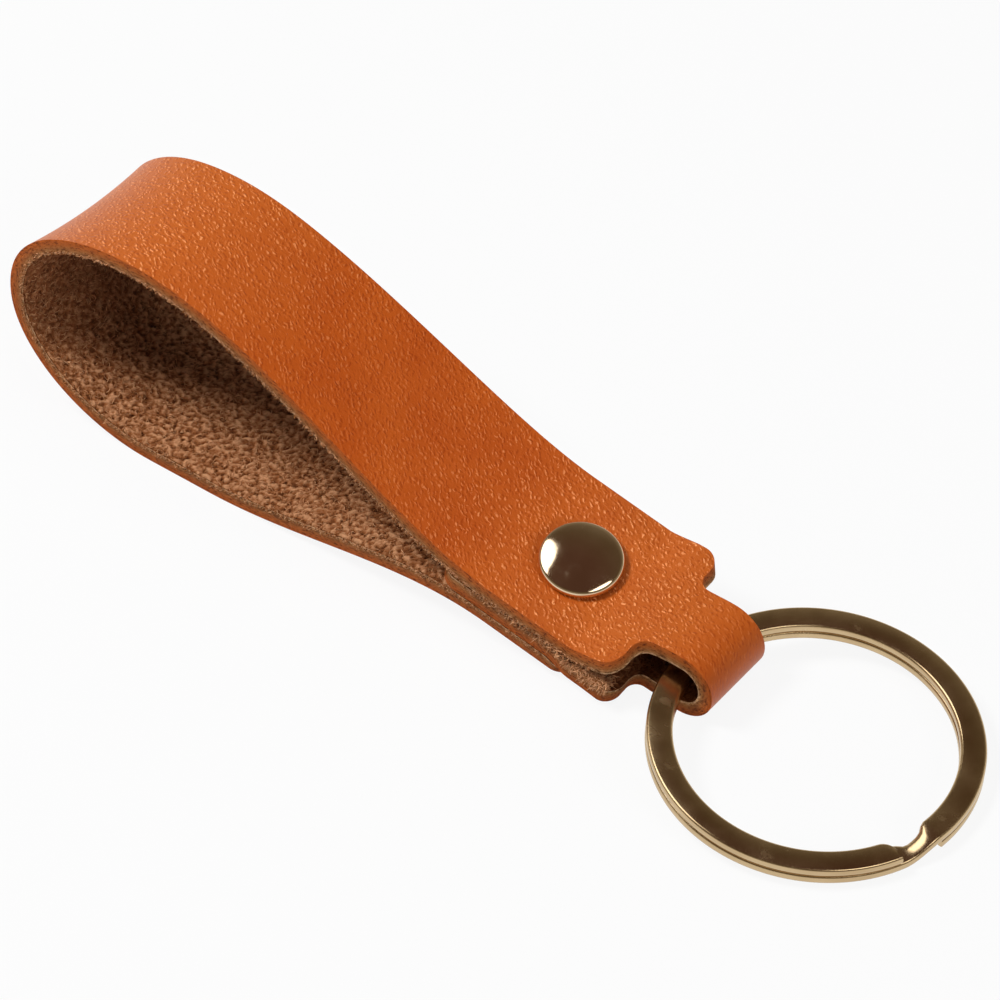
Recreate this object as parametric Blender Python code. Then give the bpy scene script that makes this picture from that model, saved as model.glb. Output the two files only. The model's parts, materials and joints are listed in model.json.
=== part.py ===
"""Leather key fob: one strip of leather folded round a split ring and closed by a double-cap rivet.

X runs along the strap, from the hand loop to the ring, Y across it and Z up. The strip is cut flat
and then bent along a side view, so its layers keep their length, width and thickness. At the rivet
the strap has three layers: the strap itself, the tail behind the fold, and the strap's own end.
All sizes are in metres and all angles in degrees.
"""

import math

import bmesh
import bpy
from mathutils import Matrix, Vector
from mathutils.geometry import interpolate_bezier

MM = 0.001

# The leather strip as it is cut: a tail, a narrow neck for the ring and the long strap.
LEATHER = 1.5 * MM
STRAP_WIDTH = 15.4 * MM
NECK_WIDTH = 8.0 * MM
NECK_TO_STRAP = 8.45 * MM
NECK_TO_TAIL = 9.37 * MM
NECK_SKEW = 0.25 * MM
SHOULDER_ROUND = 1.6 * MM
NOTCH_ROUND = 1.2 * MM
END_ROUND = 1.8 * MM
EDGE_BEVEL = 0.2 * MM
TAIL_PAST_RIVET = 10.0 * MM
STRAP_PAST_RIVET = 4.8 * MM

# The strap's end is pared thin on its flesh side, so that three layers pass under the rivet.
PARED_THICKNESS = 1.15 * MM
FEATHER_THICKNESS = 0.35 * MM
FEATHER_LENGTH = 2.6 * MM
PARING_LENGTH = 7.0 * MM

# How the bent strip lies on a table.
LOOP_REACH = 59.3 * MM
LOOP_HEIGHT = 23.5 * MM
CREST_REACH = 44.5 * MM
BELLY_HEIGHT = 12.5 * MM
REST_START = 36.5 * MM
REST_END = 43.5 * MM
FOLD_REACH = 13.8 * MM
STACK_LIFT = 2.85 * MM
STACK_SLOPE = 11.0
STACK_LEAN = 8.5
CREST_LEAN = -2.5
LOOP_SKEW = 4.0
FOLD_LEAN = 0.5
TWIST_START = 7.0 * MM
FOLD_OPENING_BELOW = 12.0
FOLD_OPENING_ABOVE = -3.0
LAYER_GAP = 0.12 * MM

# Past the rivet the tail steps down over the thinned end of the strap.
TAIL_DROP = 0.85 * MM
TAIL_DROP_START = 2.2 * MM
TAIL_DROP_END = 5.2 * MM
TAIL_DROP_SLOPE = 10.0
PULL_IN_DROP = 0.45

# How far the ends of each smooth stretch hold its heading, as a share of the stretch.
PULL_OFF_TAIL = 0.33
PULL_INTO_FOLD = 0.33
PULL_OFF_FOLD = 0.4
PULL_ONTO_RIVET = 0.12
PULL_OFF_RIVET = 0.29
PULL_ONTO_CREST = 0.3
PULL_OFF_CREST = 0.57
PULL_ONTO_END = 0.65
PULL_OFF_END = 0.54
PULL_ONTO_TABLE = 0.53
PULL_OFF_TABLE = 0.33

# The split ring, of flat wire.
RING_DIAMETER = 30.0 * MM
WIRE_WIDTH = 2.37 * MM
WIRE_THICKNESS = 0.84 * MM
WIRE_ROUND = 0.22 * MM
TURN_GAP = 0.1 * MM
RING_PLAY = 0.28 * MM
RING_SET_BACK = 0.35 * MM
RING_YAW = 7.0
STEP_START = -23.0
STEP_TURN = 14.5
END_CLEARANCE = 1.5
STEP_NARROWING = 0.6 * MM
TIP_ROUND = 1.3 * MM

# The rivet: two domed caps of thin sheet, crimped round a socket and round a hollow post.
CAP_RADIUS = 3.9 * MM
CAP_RISE = 1.35 * MM
CAP_RIM_ROUND = 0.45 * MM
CAP_LIP = 0.6 * MM
SHEET = 0.25 * MM
POST_RADIUS = 1.4 * MM
POST_BULB = 0.35 * MM
SOCKET_NECK = 1.2 * MM
METAL_GAP = 0.06 * MM
CROWN_GAP = 0.18 * MM
SEAT_GAP = 0.05 * MM
SEAT_MARGIN = 0.4 * MM
RIVET_OFFSET = 0.25 * MM
HOLE_PLAY = 0.12 * MM

# How finely curves are divided.
RUN_POINTS = 48
MOST_TURN = 8.0
MOST_RUN = 3.0 * MM
STRAIGHT_RUN = 1.5 * MM
LEAST_RUN = 0.08 * MM
SAME_PLACE = 0.0001 * MM
CUT_EDGE_ANGLE = 60.0
CREASE_ANGLE = 30.0
CORNER_STEPS = 5
LATHE_STEPS = 40
RING_STEP = 6.0

STACK = PARED_THICKNESS + 2 * LEATHER + 2 * LAYER_GAP
SEAT_REACH = CAP_RADIUS + SEAT_MARGIN
OUTER_RADIUS = RING_DIAMETER / 2
TURN_RADIUS = OUTER_RADIUS - WIRE_WIDTH / 2
RING_HEIGHT = 2 * WIRE_THICKNESS + TURN_GAP

# Inside the neck the ring's wire bows by this much, and it turns about the middle of that bow.
WIRE_BOW = TURN_RADIUS - math.sqrt(TURN_RADIUS**2 - (NECK_WIDTH / 2) ** 2)
WIRE_SWEEP = WIRE_ROUND + math.hypot(
    (WIRE_WIDTH + WIRE_BOW) / 2 - WIRE_ROUND, RING_HEIGHT / 2 - WIRE_ROUND
)
FOLD_DROP = NECK_WIDTH / 2 * math.sin(math.radians(FOLD_LEAN))
FOLD_RADIUS = WIRE_SWEEP + FOLD_DROP + RING_PLAY
HINGE_HEIGHT = FOLD_RADIUS + LEATHER + FOLD_DROP


def clear_scene():
    for thing in list(bpy.data.objects):
        bpy.data.objects.remove(thing, do_unlink=True)


def finish(name, colour, roughness, metallic):
    made = bpy.data.materials.new(name)
    made.use_nodes = True
    shader = made.node_tree.nodes["Principled BSDF"]
    shader.inputs["Base Color"].default_value = (*colour, 1.0)
    shader.inputs["Roughness"].default_value = roughness
    shader.inputs["Metallic"].default_value = metallic
    return made


def add_object(name, bm, material, parent):
    mesh = bpy.data.meshes.new(name)
    bm.to_mesh(mesh)
    bm.free()
    mesh.materials.append(material)
    mesh.shade_smooth()
    mesh.set_sharp_from_angle(angle=math.radians(CREASE_ANGLE))
    made = bpy.data.objects.new(name, mesh)
    bpy.context.scene.collection.objects.link(made)
    made.parent = parent
    return made


def heading(degrees):
    turn = math.radians(degrees)
    return Vector((math.cos(turn), math.sin(turn)))


def ease(share):
    """Smooth step from 0 to 1."""
    share = min(max(share, 0.0), 1.0)
    return share * share * (3 - 2 * share)


# The side view of the bent strip.


def stack_spot(along, height):
    """A point of the riveted stack in the side view: `along` it towards the ring, `height` above
    its underside. The rivet's axis is at zero, and meets the strap's face at X = 0."""
    foot = Vector((-STACK * math.sin(math.radians(STACK_SLOPE)), STACK_LIFT))
    return foot + along * heading(-STACK_SLOPE) + height * heading(90 - STACK_SLOPE)


def run(start, start_heading, start_pull, end, end_heading, end_pull):
    """A smooth stretch that leaves `start` and reaches `end` at the given headings."""
    leave = start + start_pull * heading(start_heading)
    arrive = end - end_pull * heading(end_heading)
    return [Vector(p) for p in interpolate_bezier(start, leave, arrive, end, RUN_POINTS)]


def arc(centre, radius, start, end, steps):
    """Points of an arc between two headings, both ends included."""
    turns = [start + (end - start) * i / steps for i in range(steps + 1)]
    return [centre + radius * heading(turn) for turn in turns]


def side_view():
    """The middle line of the leather from the tail's end to the strap's end, and the point of it
    at the middle of the fold."""
    half = LEATHER / 2
    tail_height = PARED_THICKNESS + LAYER_GAP + half
    strap_height = STACK - half
    fold_centre = Vector((FOLD_REACH, HINGE_HEIGHT))
    fold_start = -90 - FOLD_OPENING_BELOW
    fold_end = 90 + FOLD_OPENING_ABOVE
    fold = arc(fold_centre, FOLD_RADIUS + half, fold_start, fold_end, 2 * RUN_POINTS)
    tail_drops = stack_spot(TAIL_DROP_START, tail_height)
    tail_leaves = stack_spot(TAIL_DROP_END, tail_height - TAIL_DROP)
    drop_run = (tail_leaves - tail_drops).length
    under_run = (fold[0] - tail_leaves).length
    over_run = (fold[-1] - stack_spot(SEAT_REACH, strap_height)).length
    crest = Vector((-CREST_REACH, LOOP_HEIGHT - half))
    belly = Vector((half - LOOP_REACH, BELLY_HEIGHT))
    rest_end = Vector((-REST_END, half))
    rest_start = Vector((-REST_START, half))
    rivet_top = stack_spot(-SEAT_REACH, strap_height)
    rivet_under = stack_spot(-SEAT_REACH, half)
    rise = (crest - rivet_top).length
    floor_run = (rivet_under - rest_start).length
    pieces = [
        [stack_spot(-TAIL_PAST_RIVET, tail_height)],
        run(
            tail_drops, -STACK_SLOPE, PULL_IN_DROP * drop_run,
            tail_leaves, -TAIL_DROP_SLOPE, PULL_IN_DROP * drop_run,
        ),
        run(
            tail_leaves, -TAIL_DROP_SLOPE, PULL_OFF_TAIL * under_run,
            fold[0], -FOLD_OPENING_BELOW, PULL_INTO_FOLD * under_run,
        ),
        fold,
        run(
            fold[-1], 180 + FOLD_OPENING_ABOVE, PULL_OFF_FOLD * over_run,
            stack_spot(SEAT_REACH, strap_height), 180 - STACK_SLOPE, PULL_ONTO_RIVET * over_run,
        ),
        run(rivet_top, 180 - STACK_SLOPE, PULL_OFF_RIVET * rise, crest, 180, PULL_ONTO_CREST * rise),
        run(
            crest, 180, PULL_OFF_CREST * (crest - belly).x,
            belly, 270, PULL_ONTO_END * (crest - belly).y,
        ),
        run(
            belly, 270, PULL_OFF_END * (belly - rest_end).y,
            rest_end, 360, PULL_ONTO_TABLE * (rest_end - belly).x,
        ),
        run(
            rest_start, 0, PULL_OFF_TABLE * floor_run,
            rivet_under, -STACK_SLOPE, PULL_OFF_TABLE * floor_run,
        ),
        [stack_spot(STRAP_PAST_RIVET, half)],
    ]
    middle = fold_centre + Vector((FOLD_RADIUS + half, 0))
    points = []
    for piece in pieces:
        for spot in piece:
            if not points or (spot - points[-1]).length > SAME_PLACE:
                points.append(spot)
    return points, middle


class SideView:
    """The middle line with its length counted from the tail's end."""

    def __init__(self):
        self.points, middle = side_view()
        self.lengths = [0.0]
        for before, after in zip(self.points, self.points[1:]):
            self.lengths.append(self.lengths[-1] + (after - before).length)
        self.length = self.lengths[-1]
        nearest = min(range(len(self.points)), key=lambda i: (self.points[i] - middle).length)
        self.fold = self.lengths[nearest]
        self.headings = [self.heading_near(i) for i in range(len(self.points))]

    def heading_near(self, i):
        before = self.points[max(i - 1, 0)]
        after = self.points[min(i + 1, len(self.points) - 1)]
        return (after - before).normalized()

    def at(self, length):
        """The point and the heading this far along the line."""
        i = 1
        while i < len(self.lengths) - 1 and self.lengths[i] < length:
            i += 1
        share = (length - self.lengths[i - 1]) / (self.lengths[i] - self.lengths[i - 1])
        spot = self.points[i - 1].lerp(self.points[i], share)
        return spot, self.headings[i - 1].lerp(self.headings[i], share).normalized()

    def stations(self):
        """Lengths at which the strip is creased: at both ends of a straight stretch, and closer
        together where it bends more."""
        found = [0.0]
        turned = 0.0
        for i in range(1, len(self.points) - 1):
            turned += abs(math.degrees(self.headings[i].angle_signed(self.headings[i - 1])))
            here, before, after = self.lengths[i], self.lengths[i - 1], self.lengths[i + 1]
            straight = max(here - before, after - here) > STRAIGHT_RUN
            if straight or turned > MOST_TURN or here - found[-1] > MOST_RUN:
                found.append(here)
                turned = 0.0
        return found[1:]


def lean_at(x, z):
    """How far the strip leans to one side at this place of the side view."""
    stack_start = stack_spot(-SEAT_REACH, 0).x
    if x < stack_start:
        crest = CREST_LEAN * ease(z / LOOP_HEIGHT) * ease((stack_start - x) / CREST_REACH)
        return crest + STACK_LEAN * ease((x + REST_START) / (REST_START + stack_start))
    fade = ease((x - TWIST_START) / (FOLD_REACH - FOLD_RADIUS - TWIST_START))
    return STACK_LEAN + (FOLD_LEAN - STACK_LEAN) * fade


def skew_at(x, across):
    """How far the strip is pushed back here, because its loop ends sooner on the far side."""
    share = ease((-x - CREST_REACH) / (LOOP_REACH - CREST_REACH))
    return math.tan(math.radians(LOOP_SKEW)) * (across + STRAP_WIDTH / 2) * share


def leather_at(from_end):
    """Thickness of the strip this far from the strap's end."""
    plateau = STRAP_PAST_RIVET + SEAT_REACH
    if from_end < FEATHER_LENGTH:
        return FEATHER_THICKNESS + (PARED_THICKNESS - FEATHER_THICKNESS) * from_end / FEATHER_LENGTH
    pared = min(max((from_end - plateau) / PARING_LENGTH, 0.0), 1.0)
    return PARED_THICKNESS + (LEATHER - PARED_THICKNESS) * pared


# The leather strip.


def edge_of_blank(length, fold, skew):
    """One long edge of the flat strip, from the tail's end to the strap's end. `skew` shifts the
    neck towards the strap on this side of it."""
    side = STRAP_WIDTH / 2
    neck = NECK_WIDTH / 2
    tail_shoulder = fold - NECK_TO_TAIL + skew / 2
    strap_shoulder = fold + NECK_TO_STRAP + skew

    def corner(x, y, radius, start, end):
        return arc(Vector((x, y)), radius, start, end, CORNER_STEPS)

    return (
        corner(END_ROUND, side - END_ROUND, END_ROUND, 180, 90)
        + corner(tail_shoulder - SHOULDER_ROUND, side - SHOULDER_ROUND, SHOULDER_ROUND, 90, 0)
        + corner(tail_shoulder + NOTCH_ROUND, neck + NOTCH_ROUND, NOTCH_ROUND, 180, 270)
        + corner(strap_shoulder - NOTCH_ROUND, neck + NOTCH_ROUND, NOTCH_ROUND, 270, 360)
        + corner(strap_shoulder + SHOULDER_ROUND, side - SHOULDER_ROUND, SHOULDER_ROUND, 180, 90)
        + corner(length - END_ROUND, side - END_ROUND, END_ROUND, 90, 0)
    )


def cut_blank(view):
    """The flat strip, creased across at every station, with its grain side down."""
    far = edge_of_blank(view.length, view.fold, -NECK_SKEW)
    near = edge_of_blank(view.length, view.fold, NECK_SKEW)
    outline = [(p.x, p.y, 0.0) for p in far] + [(p.x, -p.y, 0.0) for p in reversed(near)]
    bm = bmesh.new()
    bm.faces.new([bm.verts.new(p) for p in outline])
    creases = []
    for length in sorted([p.x for p in far + near] + view.stations()):
        if not creases or length - creases[-1] > LEAST_RUN:
            creases.append(length)
    for length in creases[1:-1]:
        geometry = bm.verts[:] + bm.edges[:] + bm.faces[:]
        across = {"plane_co": (length, 0, 0), "plane_no": (1, 0, 0)}
        bmesh.ops.bisect_plane(bm, geom=geometry, dist=SAME_PLACE, **across)
    raised = bmesh.ops.extrude_face_region(bm, geom=bm.faces[:])["geom"]
    top = [thing for thing in raised if isinstance(thing, bmesh.types.BMVert)]
    bmesh.ops.translate(bm, vec=(0, 0, LEATHER), verts=top)
    bmesh.ops.recalc_face_normals(bm, faces=bm.faces)
    return bm


def round_edges(bm):
    """Breaks the long cut edges of the flat strip."""
    sharp = []
    for edge in bm.edges:
        level = abs(edge.verts[0].co.z - edge.verts[1].co.z) < SAME_PLACE
        if level and edge.calc_face_angle(0.0) > math.radians(CUT_EDGE_ANGLE):
            sharp.append(edge)
    bmesh.ops.bevel(bm, geom=sharp, offset=EDGE_BEVEL, segments=1, affect="EDGES", clamp_overlap=True)


def bend(bm, view):
    """Lays the flat strip along the side view and leans it."""
    for vert in bm.verts:
        spot, along = view.at(vert.co.x)
        height = vert.co.z * leather_at(view.length - vert.co.x) / LEATHER
        spot = spot + Vector((-along.y, along.x)) * (height - LEATHER / 2)
        lean = math.radians(lean_at(spot.x, spot.y))
        across = vert.co.y
        x = spot.x + skew_at(spot.x, across)
        vert.co = (x, across * math.cos(lean), spot.y + across * math.sin(lean))


def rivet_frame():
    """The rivet's axis: its place at mid-stack, and the thickness that it grips."""
    under = stack_spot(0, 0)
    over = stack_spot(0, STACK)
    lean = math.radians(STACK_LEAN)
    slope = heading(-STACK_SLOPE)
    along = Vector((slope.x, 0, slope.y))
    across = Vector((0, math.cos(lean), math.sin(lean)))
    normal = along.cross(across).normalized()
    middle = (under + over) / 2
    middle = Vector((middle.x, 0, middle.y)) + RIVET_OFFSET * across
    grip = Vector((over.x - under.x, 0, over.y - under.y)).dot(normal)
    turn = Matrix((normal.cross(along).cross(normal), normal.cross(along), normal)).transposed()
    return Matrix.Translation(middle) @ turn.to_4x4(), grip


def leather_strip(view, frame, material, parent):
    bm = cut_blank(view)
    round_edges(bm)
    bend(bm, view)
    bmesh.ops.recalc_face_normals(bm, faces=bm.faces)
    strip = add_object("leather_strip", bm, material, parent)
    punch = bmesh.new()
    radius = POST_RADIUS + METAL_GAP + SHEET + HOLE_PLAY
    bmesh.ops.create_cone(
        punch, cap_ends=True, segments=LATHE_STEPS, radius1=radius, radius2=radius, depth=STACK + 2 * SHEET
    )
    punch.transform(frame)
    cutter = add_object("rivet_punch", punch, material, parent)
    cutter.hide_render = True
    cutter.display_type = "WIRE"
    hole = strip.modifiers.new("rivet_hole", "BOOLEAN")
    hole.operation = "DIFFERENCE"
    hole.object = cutter
    return strip


# The rivet, each piece turned about its axis.


def lathe(name, profile, closed, material, parent, flip):
    """Turns a profile of (radius, height) about the rivet's axis. `flip` sets it upside down."""
    bm = bmesh.new()
    verts = [bm.verts.new((radius, 0, height)) for radius, height in profile]
    for a, b in zip(verts, verts[1:] + verts[:1] if closed else verts[1:]):
        bm.edges.new((a, b))
    made = add_object(name, bm, material, parent)
    turned = made.modifiers.new("turned", "SCREW")
    turned.steps = LATHE_STEPS
    turned.render_steps = LATHE_STEPS
    turned.use_merge_vertices = True
    turned.merge_threshold = 1e-6
    turned.use_smooth_shade = True
    if flip:
        made.rotation_euler = (math.pi, 0, 0)
    return made


def cap_profile(seat):
    """A domed shell whose rim is rolled and turned under, from its outer crown to its inner one."""
    rim = CAP_RADIUS - CAP_RIM_ROUND
    rise = CAP_RISE - CAP_RIM_ROUND
    dome = (rim**2 + rise**2 - CAP_RIM_ROUND**2) / (2 * (rise - CAP_RIM_ROUND))
    crown = Vector((0, seat + CAP_RISE - dome))
    roll = Vector((rim, seat + CAP_RIM_ROUND))
    meets = math.degrees(math.atan2(roll.y - crown.y, rim))
    steps = CORNER_STEPS
    outer = arc(crown, dome, 90, meets, steps)[:-1] + arc(roll, CAP_RIM_ROUND, meets, -90, 2 * steps)
    inner = arc(roll, CAP_RIM_ROUND - SHEET, -90, meets, steps)
    inner += arc(crown, dome - SHEET, meets, 90, steps)[1:]
    lip = [Vector((rim - CAP_LIP, seat)), Vector((rim - CAP_LIP, seat + SHEET))]
    points = [(max(p.x, 0.0), p.y) for p in outer + lip + inner]
    points[0] = (0.0, points[0][1])
    points[-1] = (0.0, points[-1][1])
    return points


def post_profile(seat, grip):
    """A hollow post with a flange under the leather and a set, bulbous head above the socket."""
    flange = CAP_RADIUS - CAP_RIM_ROUND
    flange_top = -seat - SHEET - METAL_GAP
    neck_top = grip + seat + 2 * SHEET + 2 * METAL_GAP
    bulb = POST_RADIUS + POST_BULB
    crown = grip + seat + CAP_RISE - SHEET - CROWN_GAP
    shoulder = (neck_top + crown) / 2
    bore = POST_RADIUS - SHEET
    return [
        (0.0, crown),
        (POST_RADIUS, crown),
        (bulb, shoulder + METAL_GAP),
        (bulb, shoulder - METAL_GAP),
        (POST_RADIUS, neck_top),
        (POST_RADIUS, flange_top),
        (flange, flange_top),
        (flange, flange_top - SHEET),
        (bore, flange_top - SHEET),
        (bore, crown - SHEET),
        (0.0, crown - SHEET),
    ]


def socket_profile(seat):
    """A washer inside the top cap, with a neck that reaches into the leather round the post."""
    flange = CAP_RADIUS - CAP_RIM_ROUND
    bore = POST_RADIUS + METAL_GAP
    floor = seat + SHEET + METAL_GAP
    return [
        (bore, floor + SHEET),
        (flange, floor + SHEET),
        (flange, floor),
        (bore + SHEET, floor),
        (bore + SHEET, floor - SOCKET_NECK),
        (bore, floor - SOCKET_NECK),
    ]


def rivet(frame, grip, material, parent):
    """Two empties carry the rivet's halves, one on each face of the stack."""
    faces = {}
    for name, height in (("rivet_underside", -grip / 2), ("rivet_face", grip / 2)):
        faces[name] = bpy.data.objects.new(name, None)
        faces[name].parent = parent
        faces[name].matrix_world = frame @ Matrix.Translation((0, 0, height))
        bpy.context.scene.collection.objects.link(faces[name])
    under, over = faces["rivet_underside"], faces["rivet_face"]
    return [
        lathe("rivet_cap", cap_profile(SEAT_GAP), False, material, over, False),
        lathe("rivet_socket", socket_profile(SEAT_GAP), True, material, over, False),
        lathe("rivet_post", post_profile(SEAT_GAP, grip), False, material, under, False),
        lathe("rivet_back_cap", cap_profile(SEAT_GAP), False, material, under, True),
    ]


# The split ring.


def wire_section(turn, last):
    """Eight corners of the flat wire at this turn: lower turn, step and upper turn in one."""
    step_from = 360 - END_CLEARANCE - STEP_TURN
    climb = ease((turn - step_from) / STEP_TURN)
    level = (climb - 0.5) * (WIRE_THICKNESS + TURN_GAP)
    in_step = ease(1 - abs(2 * (turn - step_from) / STEP_TURN - 1) ** 2)
    from_end = TURN_RADIUS * math.radians(min(turn, last - turn))
    short = max(TIP_ROUND - from_end, 0.0)
    tip = TIP_ROUND - math.sqrt(TIP_ROUND**2 - short**2)
    outer = OUTER_RADIUS
    inner = OUTER_RADIUS - WIRE_WIDTH + STEP_NARROWING * in_step + tip
    half = WIRE_THICKNESS / 2
    cut = WIRE_ROUND
    flat = [
        (outer - cut, -half), (outer, cut - half), (outer, half - cut), (outer - cut, half),
        (inner + cut, half), (inner, half - cut), (inner, cut - half), (inner + cut, -half),
    ]
    towards = heading(STEP_START + STEP_TURN + END_CLEARANCE + turn)
    return [(radius * towards.x, radius * towards.y, level + height) for radius, height in flat]


def hinge_to_centre():
    """From the hinge inside the fold to the ring's centre."""
    return TURN_RADIUS - WIRE_BOW / 2


def ring_tilt():
    """The tilt at which the ring's far side lies on the table."""
    reach = hinge_to_centre() + OUTER_RADIUS
    return math.asin(HINGE_HEIGHT / math.hypot(reach, RING_HEIGHT / 2)) - math.atan2(
        RING_HEIGHT / 2, reach
    )


def split_ring(material, parent):
    last = 720 - STEP_TURN - 2 * END_CLEARANCE
    steps = round(last / RING_STEP)
    tip_turn = math.degrees(TIP_ROUND / TURN_RADIUS)
    turns = [tip_turn * (1 - math.cos(math.radians(90 * i / CORNER_STEPS))) for i in range(CORNER_STEPS)]
    even = [tip_turn + (last - 2 * tip_turn) * i / steps for i in range(steps + 1)]
    turns = turns + even + [last - turn for turn in reversed(turns)]
    bm = bmesh.new()
    loops = [[bm.verts.new(p) for p in wire_section(turn, last)] for turn in turns]
    for before, after in zip(loops, loops[1:]):
        for k in range(len(before)):
            m = (k + 1) % len(before)
            bm.faces.new((before[k], before[m], after[m], after[k]))
    bm.faces.new(reversed(loops[0]))
    bm.faces.new(loops[-1])
    bmesh.ops.recalc_face_normals(bm, faces=bm.faces)
    yaw = math.radians(RING_YAW)
    bmesh.ops.rotate(bm, cent=(0, 0, 0), matrix=Matrix.Rotation(yaw, 3, "Z"), verts=bm.verts)
    bmesh.ops.translate(bm, vec=(hinge_to_centre(), 0, 0), verts=bm.verts)
    ring = add_object("split_ring", bm, material, parent)
    ring.location = (FOLD_REACH - RING_SET_BACK, 0, HINGE_HEIGHT)
    ring.rotation_euler = (0, ring_tilt(), -yaw)
    return ring


def set_down(root, pieces):
    """Moves the whole fob so that the middle of its footprint is the origin."""
    bpy.context.view_layer.update()
    graph = bpy.context.evaluated_depsgraph_get()
    points = []
    for piece in pieces:
        solid = piece.evaluated_get(graph)
        points += [solid.matrix_world @ vert.co for vert in solid.data.vertices]
    middle = [(min(p[i] for p in points) + max(p[i] for p in points)) / 2 for i in (0, 1)]
    root.location = (-middle[0], -middle[1], 0)
    bpy.context.view_layer.update()
    print("lowest point, mm:", round(min(p.z for p in points) / MM, 4))
    return root.location


def main():
    clear_scene()
    leather = finish("leather", (0.52, 0.16, 0.035), 0.55, 0.0)
    rivet_brass = finish("rivet_brass", (0.55, 0.43, 0.27), 0.18, 1.0)
    ring_brass = finish("ring_brass", (0.42, 0.33, 0.19), 0.3, 1.0)
    root = bpy.data.objects.new("key_fob", None)
    bpy.context.scene.collection.objects.link(root)
    view = SideView()
    frame, grip = rivet_frame()
    strip = leather_strip(view, frame, leather, root)
    ring = split_ring(ring_brass, root)
    pieces = [strip, ring, *rivet(frame, grip, rivet_brass, root)]
    shift = set_down(root, pieces)
    rest = Vector((-(REST_START + REST_END) / 2, 0, 0)) + shift
    print("strip length, mm:", round(view.length / MM, 2))
    print("turns of the ring apart, mm:", round(TURN_GAP / MM, 3))
    axis = ring.matrix_world.to_3x3() @ Vector((0, 1, 0))
    print("ring hinge, m:", [round(v, 7) for v in ring.matrix_world.translation])
    print("ring hinge axis:", [round(v, 6) for v in axis])
    print("resting face, m:", [round(v, 7) for v in rest])
    print("ring tilt, degrees:", round(math.degrees(ring_tilt()), 3))


main()
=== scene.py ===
"""A leather key fob: one strip of leather folded round a split ring and closed by a rivet.

X runs along the strap towards the ring, Y across it and Z up. Sizes are in metres and angles
in degrees.
"""

import json
import math

import bpy
import numpy as np
from mathutils import Matrix, Vector, noise
from mathutils.geometry import interpolate_bezier


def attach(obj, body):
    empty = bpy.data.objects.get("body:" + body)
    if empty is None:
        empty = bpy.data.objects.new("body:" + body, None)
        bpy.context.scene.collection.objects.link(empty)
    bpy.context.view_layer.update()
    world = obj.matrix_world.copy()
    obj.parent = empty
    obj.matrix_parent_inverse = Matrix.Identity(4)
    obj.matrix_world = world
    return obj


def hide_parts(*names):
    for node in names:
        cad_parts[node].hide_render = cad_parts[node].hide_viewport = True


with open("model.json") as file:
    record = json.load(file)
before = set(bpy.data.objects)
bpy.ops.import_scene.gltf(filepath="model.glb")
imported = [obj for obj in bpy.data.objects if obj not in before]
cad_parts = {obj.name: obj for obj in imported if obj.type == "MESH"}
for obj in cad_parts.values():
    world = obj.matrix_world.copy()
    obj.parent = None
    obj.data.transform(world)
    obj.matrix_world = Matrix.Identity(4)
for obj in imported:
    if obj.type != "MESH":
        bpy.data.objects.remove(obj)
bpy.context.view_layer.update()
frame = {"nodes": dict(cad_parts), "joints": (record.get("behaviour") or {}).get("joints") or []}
MM = 0.001

# Camera. It looks down on the fob at 45 degrees, from the near side and a little towards the
# ring, from about 60 cm with a long lens. The fob's own zero is under the middle of the rivet's
# face, and the ring's hinge says where that is.
HINGE_FROM_RIVET = 13.45 * MM
hinge = Vector(frame["joints"][0]["pos_m"])
rivet_foot = Vector((hinge.x - HINGE_FROM_RIVET, hinge.y, 0))
CAMERA_TURN = 37.07
CAMERA_RISE = 44.96
CAMERA_DISTANCE = 623.4 * MM
CAMERA_LENS = 246.3
CAMERA_CLIP = 50 * MM
CAMERA_AIM = rivet_foot + Vector((-14.77, 7.52, 0)) * MM
turn, rise = math.radians(CAMERA_TURN), math.radians(CAMERA_RISE)
away = Vector((math.sin(turn) * math.cos(rise), -math.cos(turn) * math.cos(rise), math.sin(rise)))
bpy.ops.object.select_all(action="DESELECT")
bpy.ops.object.camera_add(location=CAMERA_AIM + away * CAMERA_DISTANCE)
camera = bpy.context.object
camera.name = "camera"
camera.rotation_euler = (-away).to_track_quat("-Z", "Y").to_euler()
camera.data.lens = CAMERA_LENS
camera.data.clip_start = CAMERA_CLIP
bpy.context.scene.camera = camera

# Leather strip. It is cut from one piece of grained leather 1.5 mm thick: a tail, a narrow neck
# and a long strap. The neck folds round the ring, the strap turns back in a hand loop, and its
# own end is pared thin and lies under the tail. Grain outside, suede inside, edges left raw.
LEATHER = 1.5 * MM
STRAP_WIDTH = 15.4 * MM
NECK_WIDTH = 8.0 * MM
NECK_TO_STRAP = 8.45 * MM
NECK_TO_TAIL = 9.37 * MM
NECK_SKEW = 0.25 * MM
SHOULDER_ROUND = 1.6 * MM
NOTCH_ROUND = 1.2 * MM
END_ROUND = 1.8 * MM
TAIL_PAST_RIVET = 10.0 * MM
STRAP_PAST_RIVET = 4.8 * MM
PARED = 1.15 * MM
FEATHER = 0.35 * MM
FEATHER_LENGTH = 2.6 * MM
PARING_LENGTH = 7.0 * MM
LAYER_GAP = 0.12 * MM
STACK = PARED + 2 * LEATHER + 2 * LAYER_GAP
STACK_LIFT = 2.85 * MM
STACK_SLOPE = 11.0
STACK_LEAN = 8.5
SEAT_REACH = 4.3 * MM
TAIL_DROP = 0.85 * MM
TAIL_DROP_START = 2.2 * MM
TAIL_DROP_END = 5.2 * MM
TAIL_DROP_SLOPE = 10.0
FOLD_REACH = 13.8 * MM
FOLD_LEAN = 0.5
FOLD_RADIUS = hinge.z - LEATHER - NECK_WIDTH / 2 * math.sin(math.radians(FOLD_LEAN))
FOLD_START = -102.0
FOLD_END = 87.0
FOLD_STEP = 1.5
LOOP_REACH = 59.3 * MM
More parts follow.
